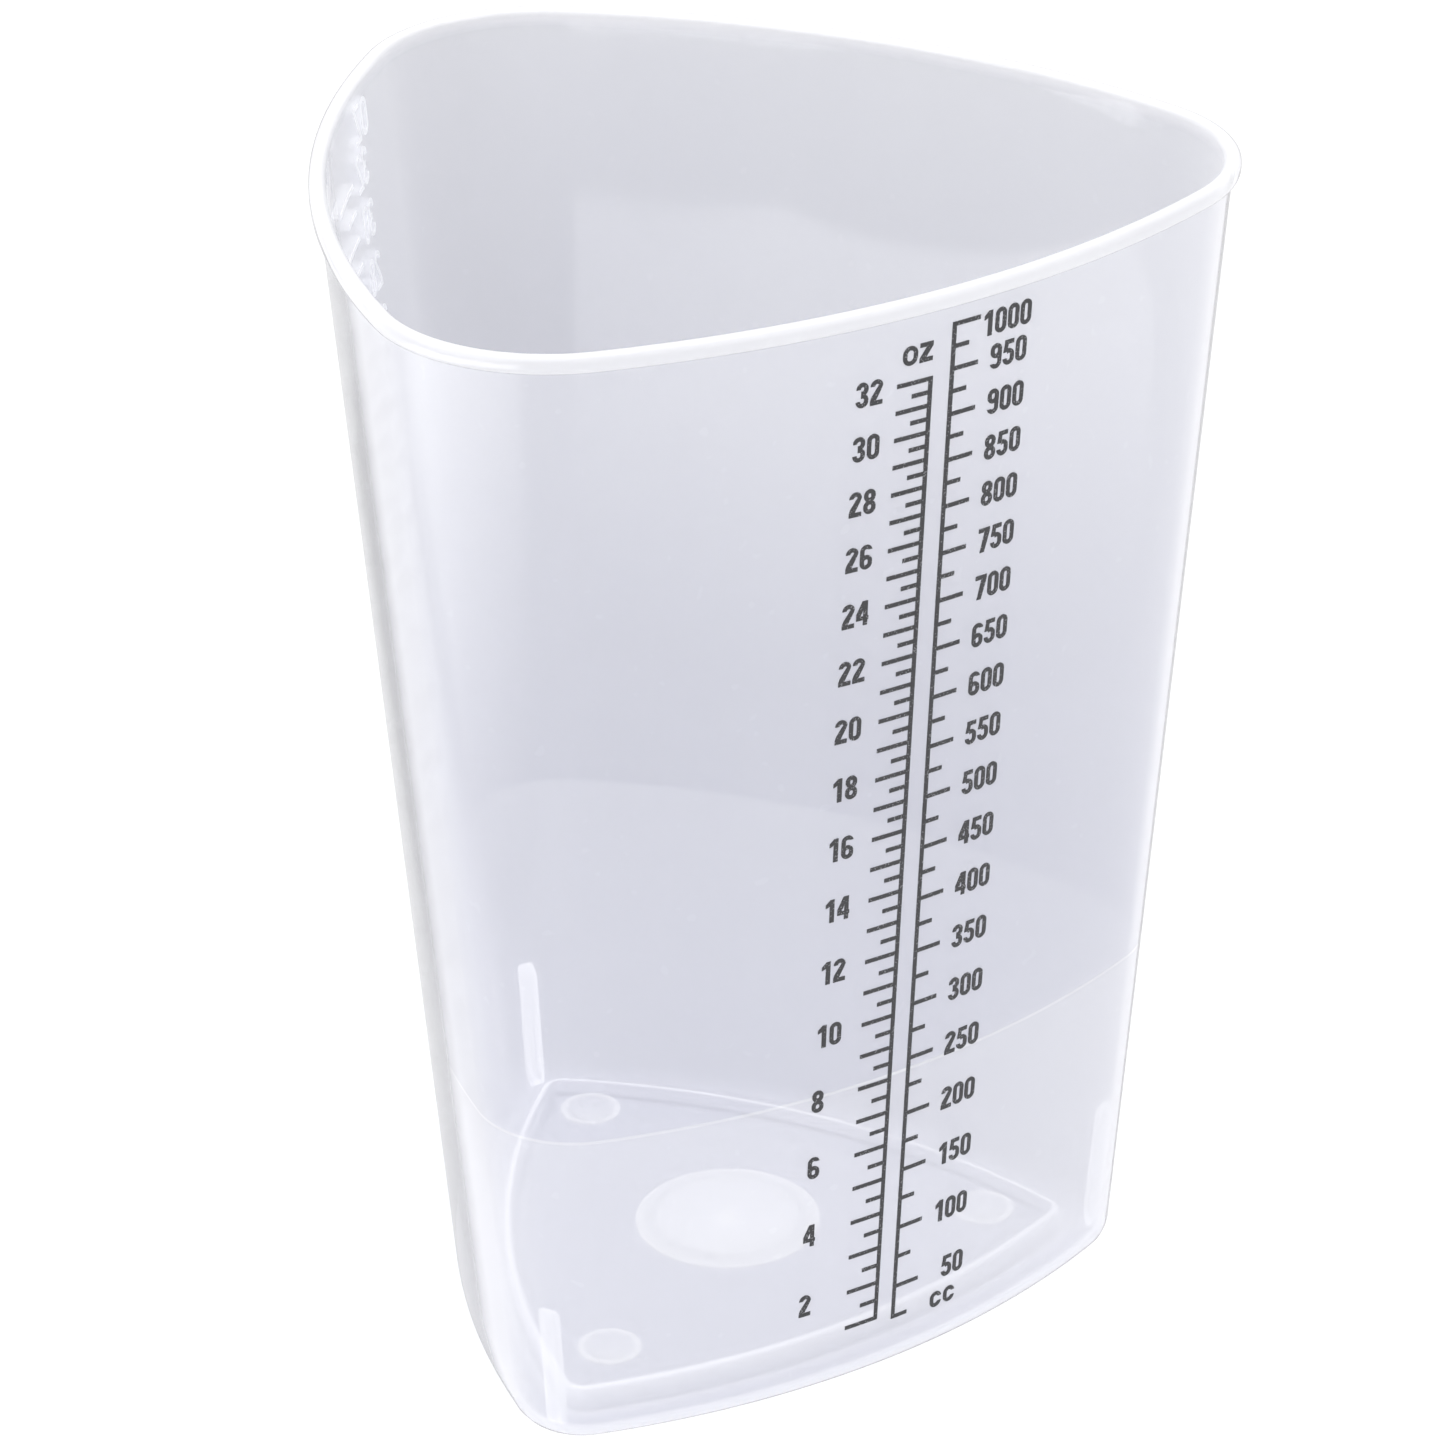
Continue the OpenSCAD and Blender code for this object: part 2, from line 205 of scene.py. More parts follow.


# %% [markdown]
# ## One skin, cloudier in places
# The bead, the foot and the floor hold more plastic than the wall, and the lower wall is a
# little thicker than the upper. One table says for each kind of row how thick and how pale it
# is. The paleness is partly painted light: the floor is paler for the light that the walls keep
# from it, and its edge gets a paler line with a glow, a painted highlight. The shader reads both,
# and also which rows belong to the inner skin, whose darker, bluer colour is painted shade.

# %% The vessel
inward = np.linspace(1, 0, 15)[1:-1]
under = np.stack([np.full(len(inward), riser_out), np.full(len(inward), FLOOR_Z - FLOOR_T)], -1)
over = np.stack([np.full(len(inward), riser_in - 0.0012), np.full(len(inward), FLOOR_Z)], -1)
rows = np.concatenate([under[::-1], section, over])
shrink = np.concatenate([inward[::-1], np.ones(len(section)), inward])
x, z = rows.T
inside = np.arange(len(rows)) > np.argmax(z) + 2
floor_edge = inside & (np.abs(x - riser_in) < 0.0007) & (z < FLOOR_Z + 1e-6)
floor_edge &= (z > FLOOR_Z - 0.0007) | (z < WALL_T + 0.0005)
climb = 0.42 * np.clip((z - LINE_Z) / (neck - LINE_Z), 0, 1) ** 1.5
kinds = [
    # which rows                                     thick  pale
    # the floor's edge: thicker, and paler with a glow, a painted highlight where it meets the wall
    (floor_edge,                                      2.0,   0.8),
    (~inside & (z < 0.0009) & (x > foot),             0.9,   0.8),    # the foot it stands on
    (~inside & (z >= 0.0009) & (z < 0.0048),          0.1,   0.0),    # the heel above it
    (~inside & (np.abs(z - LINE_Z) < 0.00015),        0.45,  0.7),    # the mould's fine line
    # the floor's paleness is painted light, for light that the walls keep from it
    (inside & (x <= riser_in + 1e-6) & (z > 0.002),   0.7,   0.48),   # the floor
    (z > neck + 0.0002,                               1.0,   0.85),   # the bead
    (z > LINE_Z - 0.0003,                             0.0,   climb),  # the upper wall
    (z > 0.007,                                       0.15,  0.30)]   # the lower wall
which, thick, pale = zip(*kinds)
thick, pale = np.select(which, thick, 0.5), np.select(which, pale, 0.45)
# lit marks the floor's edge for a painted glow, a painted highlight
lit = np.where(floor_edge & (z > WALL_T + 0.001), 0.6, 0.0)


def spread(row, ends):
    """Each row's value given to its whole ring, then the values of the two closing points."""
    return np.concatenate([np.repeat(row, len(angles)), ends])


vessel = new_piece("vessel", swept(rows, shrink, (FLOOR_Z - FLOOR_T, FLOOR_Z)), closed_faces(len(rows), len(angles)),
                   thick=spread(thick, [0.5, 0.7]), lit=spread(lit, [0, 0]),
                   pale=spread(pale, [0.7, 0.85]), inside=spread(inside.astype(float), [0, 1]))
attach(vessel, "root")
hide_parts("side_wall", "rim_bead", "base_heel", "raised_floor")
print("vessel faces:", len(vessel.data.polygons))

# %% [markdown]
# ## Moulding marks on the floor
# The floor carries the marks of the mould: a two-step disc round the injection point, the spot
# itself, and a dished ring near each corner where ejector pins pushed. All are small turned
# shapes, so each is a short profile swept round its own axis. They stand a hair above the
# floor, so that no two faces lie in the same place.

# %% Turned marks on the floor
HAIR = 0.00003


def turned(profile, centres, count=64):
    """Closed round solids: each point of the profile (radius, height) turns about every centre, and the
    ends close on the axis."""
    a = np.linspace(0, 2 * math.pi, count, endpoint=False)
    profile = np.array(profile, float)
    ring = profile[:, 0, None, None] * np.stack([np.cos(a), np.sin(a)], -1)[None]
    one = np.concatenate([ring, np.broadcast_to(profile[:, 1, None, None], ring.shape[:2] + (1,))], -1).reshape(-1, 3)
    one = np.concatenate([one, [[0, 0, profile[0, 1]], [0, 0, profile[-1, 1]]]])
    faces = closed_faces(len(profile), count)
    points = np.concatenate([one + [x, y + AXIS_Y, FLOOR_Z + HAIR] for x, y in centres])
    return points, [[v + i * len(one) for v in f] for i in range(len(centres)) for f in faces]


corner_ways = np.radians([90, 210, 330])
pad_places = 0.034 * np.stack([np.cos(corner_ways), np.sin(corner_ways)], -1)
disc_line = soften([(0.01225, 0, 0), (0.01225, 0.0003, 0.00012), (0.0095, 0.0003, 0.0001),
                    (0.0095, 0.0006, 0.00012), (0.0013, 0.0006, 0)], steps=4)
pad_line = soften([(0.0041, 0, 0), (0.0041, 0.0003, 0.00012), (0.0033, 0.0003, 0.00012),
                   (0.0033, 0.00012, 0.0001), (0.0005, 0.00012, 0)], steps=4)
spot_line = soften([(0.0011, 0.0006, 0), (0.0011, 0.0009, 0.00015), (0.0002, 0.0009, 0)], steps=4)
disc_thick = np.where(disc_line[:, 0] < 0.0096, 0.9, np.where(disc_line[:, 0] > 0.0120, 1.2, 0.25))
disc_thick = disc_thick * np.where(disc_line[:, 1] < 0.0001, 0.2, 1)
pad_thick = np.where(pad_line[:, 1] < 0.0001, 0.05, 1) * np.where(pad_line[:, 0] > 0.0032, 1.1, 0.1)


def per_ring(values, count, copies=1):
    """Each profile point's value given to its whole ring and to the closing points, for every copy."""
    return np.tile(np.concatenate([np.repeat(values, count), values[[0, -1]]]), copies)


disc_thick, pad_thick = per_ring(disc_thick, 64), per_ring(pad_thick, 48, 3)
# lit: the thick steps of the floor marks get a painted glow, a painted highlight on their edges.
disc = new_piece("injection_disc", *turned(disc_line, [(0, 0)]), thick=disc_thick, lit=disc_thick)
pads = new_piece("ejector_rings", *turned(pad_line, pad_places, 48), thick=pad_thick, lit=pad_thick)
spot = new_piece("injection_spot", *turned(spot_line, [(0, 0)], 24), thick=per_ring(np.ones(len(spot_line)), 24))
for piece, replaced in ((disc, "centre_disc"), (pads, "floor_pads"), (spot, "gate_spot")):
    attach(piece, "root")
    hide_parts(replaced)
print("floor marks:", disc.name, pads.name, spot.name)

# %% [markdown]
# ## Stiffening ribs
# Three short ribs stand in the corners. Each is a flat plate whose outline follows the wall and
# the hollow of the heel at the back and leans slightly at the front, as draft needs. A bevel
# modifier rounds the edges, since ribs on a moulding are never sharp.

# %% The corner ribs
RIB_TOP, RIB_W, RIB_IN = 0.020, 0.0022, 0.0018
wall_low, wall_top = wall_at(HEEL_R) - WALL_T - HAIR, wall_at(RIB_TOP) - WALL_T - HAIR
fillet = np.linspace(0, -math.pi / 2, 9)
heel_mid = wall_at(HEEL_R) - HEEL_R
behind = np.stack([heel_mid + (HEEL_R - WALL_T - HAIR) * np.cos(fillet),
                   HEEL_R + (HEEL_R - WALL_T - HAIR) * np.sin(fillet)], -1)
front_x = wall_low - RIB_IN
outline = np.concatenate([[[wall_top, RIB_TOP]], behind[:6],
                          [[front_x, WALL_T + 0.0009]], [[front_x, HEEL_R]],
                          [[wall_top - RIB_IN, RIB_TOP - 0.0012]], [[wall_top - 0.0007, RIB_TOP]]])
rib_points, rib_faces = [], []
m = len(outline)
for way in corner_ways:
    along = np.array([math.cos(way), math.sin(way)])
    across = np.array([-along[1], along[0]])
    for side in (-0.5, 0.5):
        flat = (CORNER_AT + outline[:, 0, None]) * along + side * RIB_W * across
        rib_points.append(np.column_stack([flat[:, 0], flat[:, 1] + AXIS_Y, outline[:, 1]]))
    first = 2 * m * (len(rib_points) // 2 - 1)
    s = np.arange(m)
    rib_faces.append((first + s).tolist())
    rib_faces.append((first + m + s[::-1]).tolist())
    rib_faces += (first + np.stack([s, s + m, (s + 1) % m + m, (s + 1) % m], -1)).tolist()
ribs = new_piece("corner_ribs_soft", np.concatenate(rib_points), rib_faces, smooth=False)
bevel = ribs.modifiers.new("edges", "BEVEL")
bevel.width, bevel.segments, bevel.limit_method = 0.00025, 2, "ANGLE"
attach(ribs, "root")
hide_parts("corner_ribs")
print("rib faces:", len(ribs.data.polygons))

# %% [markdown]
# ## The moulded ounce scale
# On the left side the ounce scale is moulded, not printed: low ridges that stand a quarter of a
# millimetre out of the wall. They are hardly seen from outside, but from inside they show
# through the wall as pale, mirrored figures, because the plastic is thicker there. The ridges
# come from the part, and each one's foot is sunk through the wall to just under the inner skin.

# %% Ridges that reach through the wall
SINK = WALL_T - 2 * HAIR


def sunk(cad, name):
    """A copy of a part's ridges with the points that lie on the wall moved inward along the side's
    radius, by a little less than the wall's thickness."""
    mesh = cad.data.copy()
    mesh.name = name
    co = np.empty(len(mesh.vertices) * 3, np.float32)
    mesh.vertices.foreach_get("co", co)
    co = co.reshape(-1, 3).astype(float)
    face = math.radians(150)
    centre = np.array([-MID * math.cos(face), -MID * math.sin(face) + AXIS_Y])
    reach = co[:, :2] - centre
    radius = np.linalg.norm(reach, axis=1, keepdims=True)
    height = radius[:, 0] - SIDE_BOW - wall_at(co[:, 2])
    radius_new = radius - np.where(height < 0.0001, SINK, 0.0)[:, None]
    co[:, :2] = centre + reach / radius * radius_new
    mesh.vertices.foreach_set("co", co.astype(np.float32).ravel())
    mesh.update()
    piece = bpy.data.objects.new(name, mesh)
    bpy.context.scene.collection.objects.link(piece)
    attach(piece, "root")
    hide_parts(cad.name)
    print(name, "points moved:", int((height < 0.0001).sum()), "of", len(co))
    return piece


raised = [sunk(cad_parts[name], name + "_ridges")
          for name in ("moulded_marks", "moulded_numerals", "moulded_unit")]

# %% [markdown]
# ## Translucent plastic
# Natural polypropylene is neither glass nor paint. Light goes straight through part of it and
# the rest is scattered, which gives the milky, faintly blue body. A wall seen edge-on holds
# more plastic along the line of sight, so it looks denser. Both are said with one number, the
# share of light that is stopped: low on the plain wall, higher where the plastic is thicker or
# seen at a slant. The same clouds, flow marks and tiny pits come back in every plastic piece
# and, as pinholes, in the ink, so they are one node group with its own inputs.

# %% The group for clouds and specks
def node(tree, kind, place=(0, 0), **values):
    """Adds one shader node and sets its properties."""
    made = tree.nodes.new(kind)
    made.location = place
    for key, value in values.items():
        setattr(made, key, value)
    return made


def cloud_group():
    """Cloud is a slow noise drawn out up the wall; Speck is 1 in the small peaks of a fine noise and 0 elsewhere;
    Height is both, for a bump."""
    tree = bpy.data.node_groups.new("cloud_and_specks", "ShaderNodeTree")
    socket = tree.interface.new_socket
    socket("Vector", in_out="INPUT", socket_type="NodeSocketVector")
    for name, value in (("Cloud Scale", 30), ("Speck Scale", 900), ("Speck From", 0.7), ("Speck To", 0.8)):
        socket(name, in_out="INPUT", socket_type="NodeSocketFloat").default_value = value
    for name in ("Cloud", "Speck", "Height"):
        socket(name, in_out="OUTPUT", socket_type="NodeSocketFloat")
    inp, out = node(tree, "NodeGroupInput", (-900, 0)), node(tree, "NodeGroupOutput", (500, 0))
    stretch = node(tree, "ShaderNodeMapping", (-700, 150))
    stretch.inputs["Scale"].default_value = (1, 1, 0.35)
    slow = node(tree, "ShaderNodeTexNoise", (-480, 150))
    slow.inputs["Detail"].default_value = 1
    dots = node(tree, "ShaderNodeTexNoise", (-480, -150))
    dots.inputs["Detail"].default_value = 0
    speck = node(tree, "ShaderNodeMapRange", (-200, -150))
    height = node(tree, "ShaderNodeMath", (200, -100), operation="MULTIPLY_ADD")
    height.inputs[1].default_value = 0.15
    link = tree.links.new
    link(inp.outputs["Vector"], stretch.inputs["Vector"])
    link(stretch.outputs[0], slow.inputs["Vector"])
    link(inp.outputs["Cloud Scale"], slow.inputs["Scale"])
    link(inp.outputs["Vector"], dots.inputs["Vector"])
    link(inp.outputs["Speck Scale"], dots.inputs["Scale"])
    link(dots.outputs["Fac"], speck.inputs["Value"])
    link(inp.outputs["Speck From"], speck.inputs["From Min"])
    link(inp.outputs["Speck To"], speck.inputs["From Max"])
    link(slow.outputs["Fac"], height.inputs[2])
    link(speck.outputs[0], height.inputs[0])
    link(slow.outputs["Fac"], out.inputs["Cloud"])
    link(speck.outputs[0], out.inputs["Speck"])
    link(height.outputs[0], out.inputs["Height"])
    return tree


CLOUDS = cloud_group()
print("group outputs:", [s.name for s in CLOUDS.interface.items_tree if s.in_out == "OUTPUT"])

# %% [markdown]
# ## One plastic, several strengths
# The wall, the floor marks, the ribs and the raised scale are the same plastic, so one function
# builds all their materials. What differs is how much light each stops. The eye sees the near
# skin, the far skin and, faintly, skins through other skins, and each gets its own share. Clear
# plastic also leads light along inside itself and lets it out at edges; a little painted glow
# there, light that no lamp gives, stands in for this without the cost of true refraction.

# %% The plastic
def blend(tree, amount, low, high, place, kind="FLOAT"):
    """Low where the amount is 0, high where it is 1, and a straight mix between. Each end is a value or a socket."""
    made = node(tree, "ShaderNodeMix", place, data_type=kind)
    number = {"FLOAT": (0, 2, 3, 0), "RGBA": (0, 6, 7, 2)}[kind]
    for at, value in zip(number, (amount, low, high)):
        if isinstance(value, bpy.types.NodeSocket):
            tree.links.new(value, made.inputs[at])
        else:
            made.inputs[at].default_value = value
    return made.outputs[number[3]]


def maths(tree, way, place, *values, clamp=False):
    """One Math node: each value is a number or a socket."""
    made = node(tree, "ShaderNodeMath", place, operation=way, use_clamp=clamp)
    for socket, value in zip(made.inputs, values):
        if isinstance(value, bpy.types.NodeSocket):
            tree.links.new(value, socket)
        else:
            socket.default_value = value
    return made.outputs[0]


def plastic(name, stop, tint, rough, painted_glow=0.0, parts=False):
    """The share of light stopped is stop's outer, inner or hidden value, by which skin is seen and from which
    side, and rises to its edge value by the slant of view; thickness and clouds add to it. Lamps pass more easily
    than sight does. With parts, the mesh's attributes choose the skin, paleness, thickness and where the painted
    glow lies. Near the silhouette the colour turns to the rim tint, a painted dark line; with parts only on the
    outer skin. Rough holds the outer and the inner skin's roughness."""
    mat = bpy.data.materials.new(name)
    mat.use_nodes = True
    tree = mat.node_tree
    tree.nodes.clear()
    out = node(tree, "ShaderNodeOutputMaterial", (1100, 0))
    skin = node(tree, "ShaderNodeBsdfPrincipled", (800, 0))
    tree.links.new(skin.outputs[0], out.inputs[0])
    where = node(tree, "ShaderNodeTexCoord", (-1100, 0))
    clouds = node(tree, "ShaderNodeGroup", (-900, 0), node_tree=CLOUDS)
    for key, value in (("Cloud Scale", 28), ("Speck Scale", 600), ("Speck From", 0.78), ("Speck To", 0.84)):
        clouds.inputs[key].default_value = value
    tree.links.new(where.outputs["Object"], clouds.inputs["Vector"])
    cloud, speck = clouds.outputs["Cloud"], clouds.outputs["Speck"]
    facing = node(tree, "ShaderNodeLayerWeight", (-900, 300)).outputs["Facing"]
    slant = maths(tree, "POWER", (-700, 300), facing, 2.0)
    rear = node(tree, "ShaderNodeNewGeometry", (-900, 500)).outputs["Backfacing"]
    lamp = node(tree, "ShaderNodeLightPath", (-900, 800)).outputs["Is Shadow Ray"]
    seen, body = stop["outer"], tint["outer"]
    if parts:
        inside, pale, thick = (node(tree, "ShaderNodeAttribute", (-900, y), attribute_name=key).outputs["Fac"]
                               for y, key in ((-300, "inside"), (-500, "pale"), (-700, "thick")))
        seen = blend(tree, inside, seen, stop["inner"], (-500, 500))
        # Inner skin: its darker, bluer tint is painted shade for the inside of the vessel.
        body = blend(tree, inside, body, tint["inner"], (-500, -300), "RGBA")
        # Pale tint: milkier where the plastic is thick, and painted light where it lightens the floor and its edge.
        body = blend(tree, pale, body, tint["pale"], (-300, -300), "RGBA")
    seen = blend(tree, rear, seen, stop["hidden"], (-300, 500))
    most = blend(tree, inside, stop["edge"], stop["edge_in"], (-300, 700)) if parts else stop["edge"]
    seen = blend(tree, slant, seen, most, (-100, 500))
    seen = maths(tree, "MULTIPLY_ADD", (100, 500), cloud, 0.06, seen)
    seen = maths(tree, "MULTIPLY_ADD", (250, 500), speck, 0.012, seen)
    if parts:
        seen = maths(tree, "MULTIPLY_ADD", (400, 500), thick, stop["thick"], seen, clamp=True)
    pass_lamp = maths(tree, "MULTIPLY_ADD", (400, 750), lamp, -stop["lamp"], 1.0)
    tree.links.new(maths(tree, "MULTIPLY", (550, 600), seen, pass_lamp), skin.inputs["Alpha"])
    body = blend(tree, slant, body, tint["edge"], (-100, -300), "RGBA")
    # Painted shade: near the silhouette the colour turns to the rim tint, a dark line that stands in for the shade
    # and the dark reflection seen there.
    painted_dark_edge = node(tree, "ShaderNodeMapRange", (-300, -550), interpolation_type="SMOOTHSTEP")
    painted_dark_edge.inputs["From Min"].default_value, painted_dark_edge.inputs["From Max"].default_value = 0.79, 0.86
    tree.links.new(facing, painted_dark_edge.inputs["Value"])
    rim = painted_dark_edge.outputs[0]
    if parts:
        rim = maths(tree, "MULTIPLY", (0, -550), rim, maths(tree, "SUBTRACT", (-150, -700), 1.0, inside))
    tree.links.new(blend(tree, rim, body, tint["rim"], (200, -300), "RGBA"), skin.inputs["Base Color"])
    gloss = blend(tree, inside, rough[0], rough[1], (100, -100)) if parts else rough[0]
    uneven = maths(tree, "MULTIPLY_ADD", (250, -100), cloud, 0.04, -0.02)
    tree.links.new(maths(tree, "ADD", (400, -100), uneven, gloss), skin.inputs["Roughness"])
    bump = node(tree, "ShaderNodeBump", (500, -500))
    bump.inputs["Strength"].default_value, bump.inputs["Distance"].default_value = 0.10, 0.0002
    tree.links.new(clouds.outputs["Height"], bump.inputs["Height"])
    tree.links.new(bump.outputs[0], skin.inputs["Normal"])
    skin.inputs["IOR"].default_value = 1.49
    # Painted glow: white emission with no lamp behind it; with parts, the lit attribute says where.
    skin.inputs["Emission Color"].default_value = (1, 1, 1, 1)
    if parts:
        lit = node(tree, "ShaderNodeAttribute", (400, -700), attribute_name="lit").outputs["Fac"]
        tree.links.new(lit, skin.inputs["Emission Color"])
    skin.inputs["Emission Strength"].default_value = painted_glow
    return mat


def paint(piece, mat):
    """Gives a piece one material."""
    piece.data.materials.clear()
    piece.data.materials.append(mat)


# %% [markdown]
# ## The strengths of each piece
# The wall is clear enough to show its floor through the front. The floor marks only show where
# their attribute makes them thick, and ribs and raised figures are milkier than any wall. The wall's
# edge at the floor, the thick steps of the floor marks, the ribs and the raised figures also carry a
# painted glow.

# %% The plastic pieces' materials
# The glow values below are painted light: the pieces give off light though they are no lamp.
wall_plastic = plastic(
    "translucent_plastic",
    dict(outer=0.30, inner=0.56, hidden=0.06, edge=0.85, edge_in=0.55, thick=0.20, lamp=0.85),
    # inner: painted shade, a dark blue for the inner skin, where less light reaches.
    dict(outer=(0.76, 0.77, 0.865, 1), inner=(0.195, 0.21, 0.325, 1), pale=(0.96, 0.96, 0.965, 1),
         # rim: painted shade, a dark grey line along the wall's silhouette.
         edge=(0.88, 0.88, 0.91, 1), rim=(0.30, 0.30, 0.32, 1)), (0.16, 0.04), painted_glow=0.35, parts=True)
detail_plastic = plastic(
    "milky_detail_plastic", dict(outer=0.02, inner=0.02, hidden=0.02, edge=0.60, edge_in=0.60, thick=0.26, lamp=0.95),
    dict(outer=(0.95, 0.95, 0.94, 1), inner=(0.95, 0.95, 0.94, 1), pale=(1, 1, 1, 1), edge=(1, 1, 0.99, 1),
         rim=(0.95, 0.95, 0.95, 1)), (0.25, 0.25), painted_glow=0.12, parts=True)
raised_plastic = plastic(
    "raised_scale_plastic", dict(outer=0.42, hidden=0.25, edge=0.90, lamp=0.95),
    dict(outer=(0.95, 0.96, 0.99, 1), edge=(1, 1, 1, 1), rim=(0.95, 0.95, 0.95, 1)), (0.22, 0.22), painted_glow=0.12)
rib_plastic = plastic(
    "rib_plastic", dict(outer=0.34, hidden=0.20, edge=0.80, lamp=0.95),
    dict(outer=(0.95, 0.95, 0.95, 1), edge=(1, 1, 0.99, 1), rim=(0.9, 0.9, 0.9, 1)), (0.22, 0.22), painted_glow=0.30)
paint(vessel, wall_plastic)
for piece in (disc, pads, spot):
    paint(piece, detail_plastic)
for piece in raised:
    paint(piece, raised_plastic)
paint(ribs, rib_plastic)
print("plastics:", [mat.name for mat in (wall_plastic, detail_plastic, raised_plastic, rib_plastic)])

# %% [markdown]
# ## Printed ink
# The scale is printed through a screen: a thin, slightly glossy black film with pinholes and
# a little unevenness where the ink lay thinner. The printed shapes are already right in the
# part, so they keep their meshes and only get this finish. The pinholes are the same specks
# as in the plastic, smaller and closer, and they lift the black towards grey.

# %% The ink
def ink(name):
    """Charcoal that turns greyer by the cloud noise and in the specks, with roughness that follows them."""
    mat = bpy.data.materials.new(name)
    mat.use_nodes = True
    tree = mat.node_tree
    link = tree.links.new
    skin = tree.nodes["Principled BSDF"]
    where = node(tree, "ShaderNodeTexCoord", (-900, 0))
    clouds = node(tree, "ShaderNodeGroup", (-650, 0), node_tree=CLOUDS)
    for key, value in (("Cloud Scale", 260), ("Speck Scale", 4200), ("Speck From", 0.66), ("Speck To", 0.74)):
        clouds.inputs[key].default_value = value
    link(where.outputs["Object"], clouds.inputs["Vector"])
    uneven = node(tree, "ShaderNodeMix", (-400, 100), data_type="RGBA")
    uneven.inputs["A"].default_value = (0.022, 0.022, 0.024, 1)
    uneven.inputs["B"].default_value = (0.050, 0.050, 0.054, 1)
    link(clouds.outputs["Cloud"], uneven.inputs["Factor"])
    holes = node(tree, "ShaderNodeMix", (-200, 100), data_type="RGBA")
    holes.inputs["B"].default_value = (0.16, 0.16, 0.17, 1)
    link(clouds.outputs["Speck"], holes.inputs["Factor"])
    link(uneven.outputs["Result"], holes.inputs["A"])
    link(holes.outputs["Result"], skin.inputs["Base Color"])
    gloss = node(tree, "ShaderNodeMapRange", (-300, -200))
    gloss.inputs["To Min"].default_value, gloss.inputs["To Max"].default_value = 0.40, 0.58
    link(clouds.outputs["Cloud"], gloss.inputs["Value"])
    link(gloss.outputs[0], skin.inputs["Roughness"])
    return mat


black_ink = ink("screen_printed_black_ink")
printed = ("oz_marks", "oz_numerals", "oz_unit", "cc_marks", "cc_numerals", "cc_unit")
for name in printed:
    paint(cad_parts[name], black_ink)
print("ink on", len(printed), "nodes")

# %% [markdown]
# ## The floor
# Milky plastic only reads well against a pale, evenly lit ground, so the floor is a wide white
# sheet. It lies a little below the foot, so that the two never share a plane.

# %% The floor
FLOOR_HALF = 6.0
square = [(x, y, 0) for x, y in ((-1, -1), (1, -1), (1, 1), (-1, 1))]
floor = new_piece("floor", np.array(square) * FLOOR_HALF, [(0, 1, 2, 3)], smooth=False)
floor.data.transform(Matrix.Translation((0, 0, -0.0002)))
pale_paper = bpy.data.materials.new("pale_paper")
pale_paper.use_nodes = True
paper = pale_paper.node_tree.nodes["Principled BSDF"]
fibre = node(pale_paper.node_tree, "ShaderNodeTexNoise", (-500, 0))
fibre.inputs["Scale"].default_value = 60
shade = node(pale_paper.node_tree, "ShaderNodeMix", (-250, 0), data_type="RGBA")
shade.inputs["A"].default_value, shade.inputs["B"].default_value = (0.90, 0.90, 0.90, 1), (0.93, 0.93, 0.93, 1)
pale_paper.node_tree.links.new(fibre.outputs["Fac"], shade.inputs["Factor"])
pale_paper.node_tree.links.new(shade.outputs["Result"], paper.inputs["Base Color"])
paper.inputs["Roughness"].default_value = 0.9
paint(floor, pale_paper)
print("floor half width, m:", FLOOR_HALF)

# %% [markdown]
# ## The lights
# The light comes from a pale surrounding and three big soft boxes: one overhead, one at the
# front and one at the left, which draws the bright band down the corner.

# %% The lights
world = bpy.data.worlds.new("studio")
bpy.context.scene.world = world
world.use_nodes = True
world.node_tree.nodes["Background"].inputs["Color"].default_value = (0.985, 0.985, 1.0, 1)
world.node_tree.nodes["Background"].inputs["Strength"].default_value = 0.62


def softbox(name, at, towards, size, watts):
    """A square area light at a point, turned to face another point."""
    data = bpy.data.lights.new(name, "AREA")
    data.shape, data.size, data.size_y, data.energy = "RECTANGLE", size[0], size[1], watts
    lamp = bpy.data.objects.new(name, data)
    bpy.context.scene.collection.objects.link(lamp)
    way = Vector(towards) - Vector(at)
    lamp.matrix_world = Matrix.Translation(at) @ way.to_track_quat("-Z", "Y").to_matrix().to_4x4()
    lamp.visible_camera = False
    return lamp


softbox("overhead", (0.1, 0.3, 1.6), (0, 0, 0.05), (1.6, 1.6), 16)
softbox("front", (0.5, -1.2, 0.9), (0, 0, 0.08), (0.9, 0.9), 5)
softbox("left", (-1.2, -0.1, 0.7), (0, 0, 0.08), (0.7, 1.1), 5)

# %% [markdown]
# ## Cards for the gloss
# In a studio, cards round the object shape its reflections. Two sheets that only gloss can see
# do so here: a white one whose reflection lies faintly in the back wall, and a grey one behind
# the left edge that keeps this edge from melting into the ground. The white one fades along X,
# so that its near side leaves no hard line in the left corner.

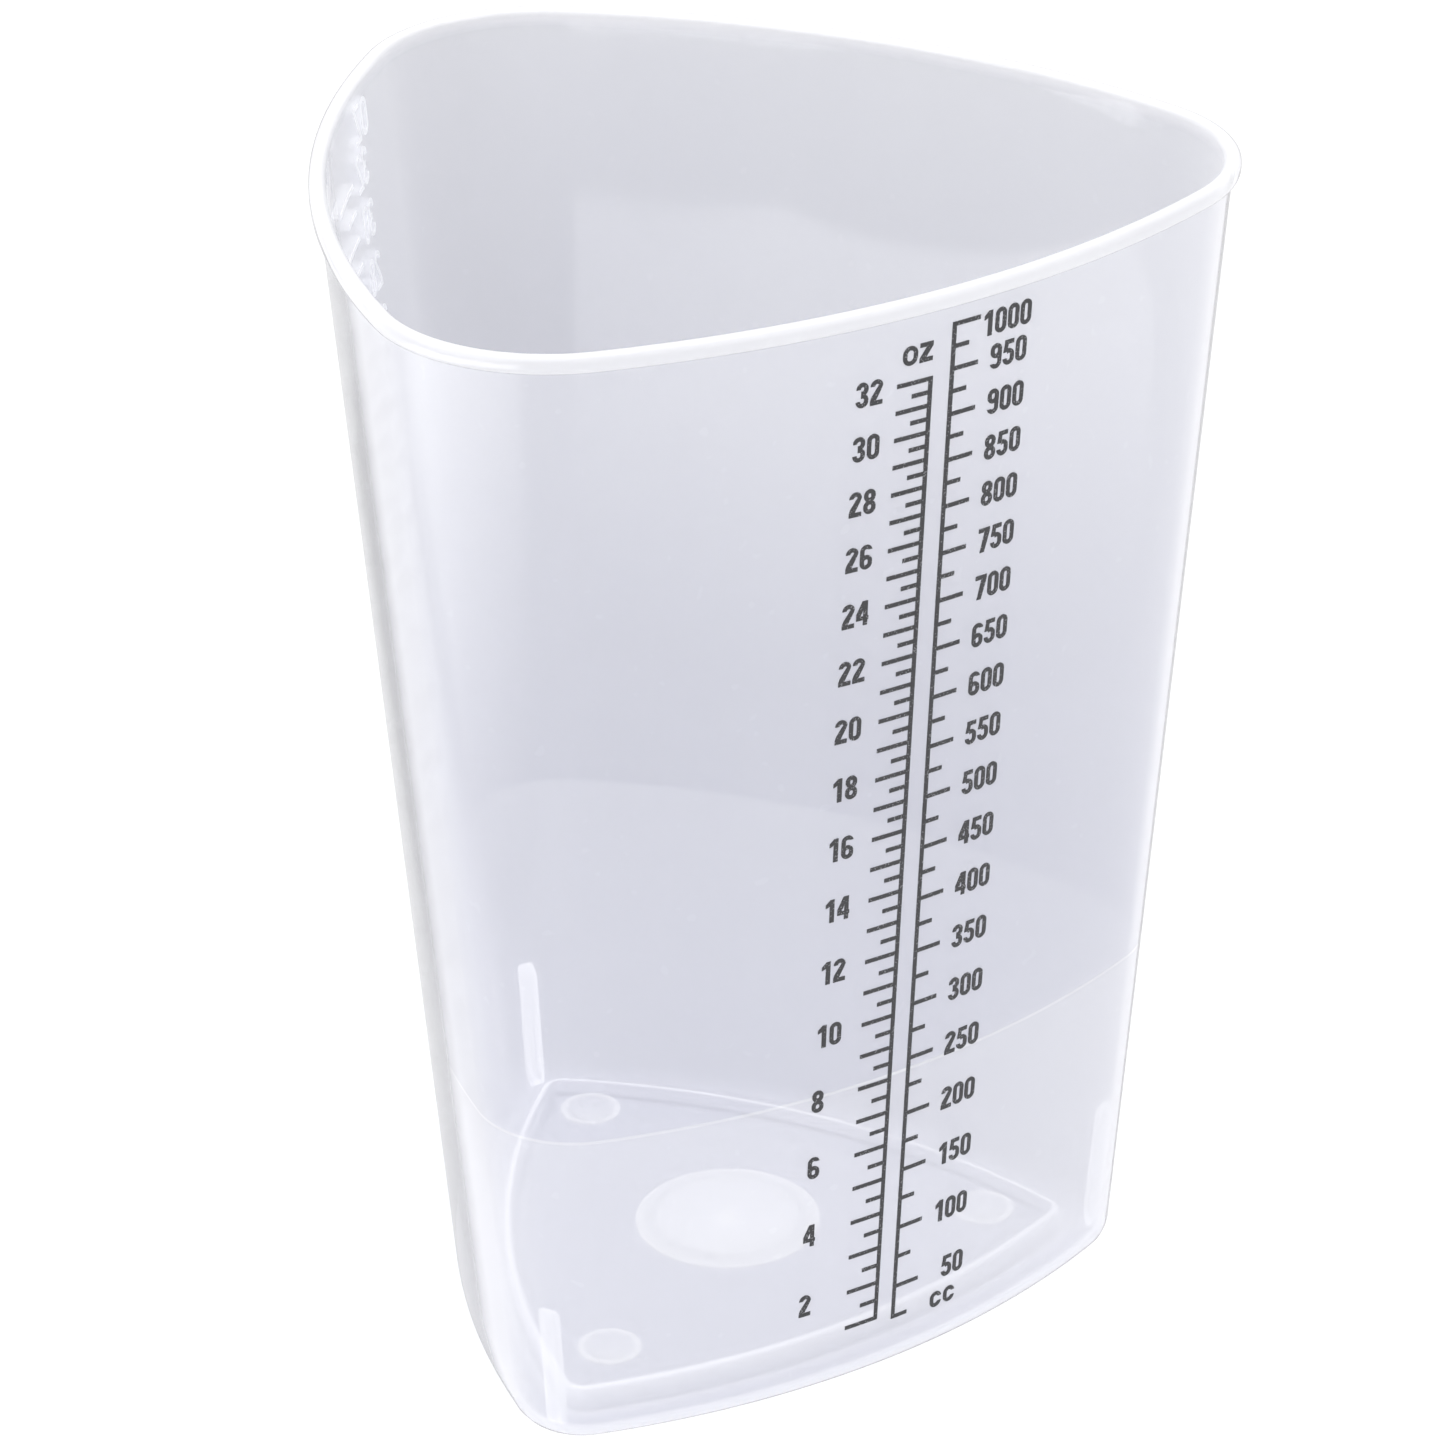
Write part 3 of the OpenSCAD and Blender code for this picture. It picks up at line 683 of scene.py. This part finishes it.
# %% The cards
def card(name, corners, tone, strength):
    """A flat sheet just above the floor that gives off an even light, seen by glossy rays only."""
    sheet = new_piece(name, [(x, y, -0.0001) for x, y in corners], [range(len(corners))], smooth=False)
    mat = bpy.data.materials.new(name + "_finish")
    mat.use_nodes = True
    skin = mat.node_tree.nodes["Principled BSDF"]
    skin.inputs["Base Color"].default_value = (0, 0, 0, 1)
    skin.inputs["Emission Color"].default_value = (tone, tone, tone, 1)
    skin.inputs["Emission Strength"].default_value = strength
    paint(sheet, mat)
    sheet.visible_camera = sheet.visible_diffuse = sheet.visible_shadow = sheet.visible_transmission = False
    return mat.node_tree, skin


tree, skin = card("card", [(-0.436, -0.326), (-0.15, -0.092), (-0.15, 0.20), (-0.42, 0.20), (-0.503, -0.139)], 1, 8.0)
along = node(tree, "ShaderNodeSeparateXYZ", (-600, 0))
tree.links.new(node(tree, "ShaderNodeTexCoord", (-800, 0)).outputs["Object"], along.inputs[0])
fade = node(tree, "ShaderNodeMapRange", (-400, 0))
fade.inputs["From Min"].default_value, fade.inputs["From Max"].default_value = -0.16, -0.33
tree.links.new(along.outputs["X"], fade.inputs["Value"])
tree.links.new(fade.outputs[0], skin.inputs["Emission Color"])
card("flag", [(-0.06, 0.01), (0.03, 0.25), (-0.02, 0.34), (-0.16, 0.32), (-0.09, 0.03)], 0.75, 1.0)

# %% [markdown]
# ## The camera
# A long lens from the front left and above, as for a catalogue picture: the scale faces the
# viewer, and the mouth stays open enough to look inside. The three vectors are the camera's own
# axes. Skins seen through skins need many transparent steps, so their limit is raised.

# %% The camera
back = Vector((-0.488608, -0.743977, 0.455809))
right = Vector((0.833049, -0.553113, -0.009802))
up = Vector((0.259406, 0.374922, 0.890025))
lens = bpy.data.cameras.new("camera")
lens.lens, lens.sensor_width, lens.clip_start, lens.clip_end = 138.41, 36.0, 0.01, 50.0
camera = bpy.data.objects.new("camera", lens)
bpy.context.scene.collection.objects.link(camera)
place = Matrix((right, up, back)).transposed().to_4x4()
spot_at = Vector((-0.34389, -0.53066, 0.40003)) - 0.00045 * up + 0.00012 * right
camera.matrix_world = Matrix.Translation(spot_at) @ place
bpy.context.scene.camera = camera
bpy.context.scene.view_settings.view_transform = "Standard"
bpy.context.scene.cycles.transparent_max_bounces = 32
print("camera at, m:", [round(x, 3) for x in camera.location])
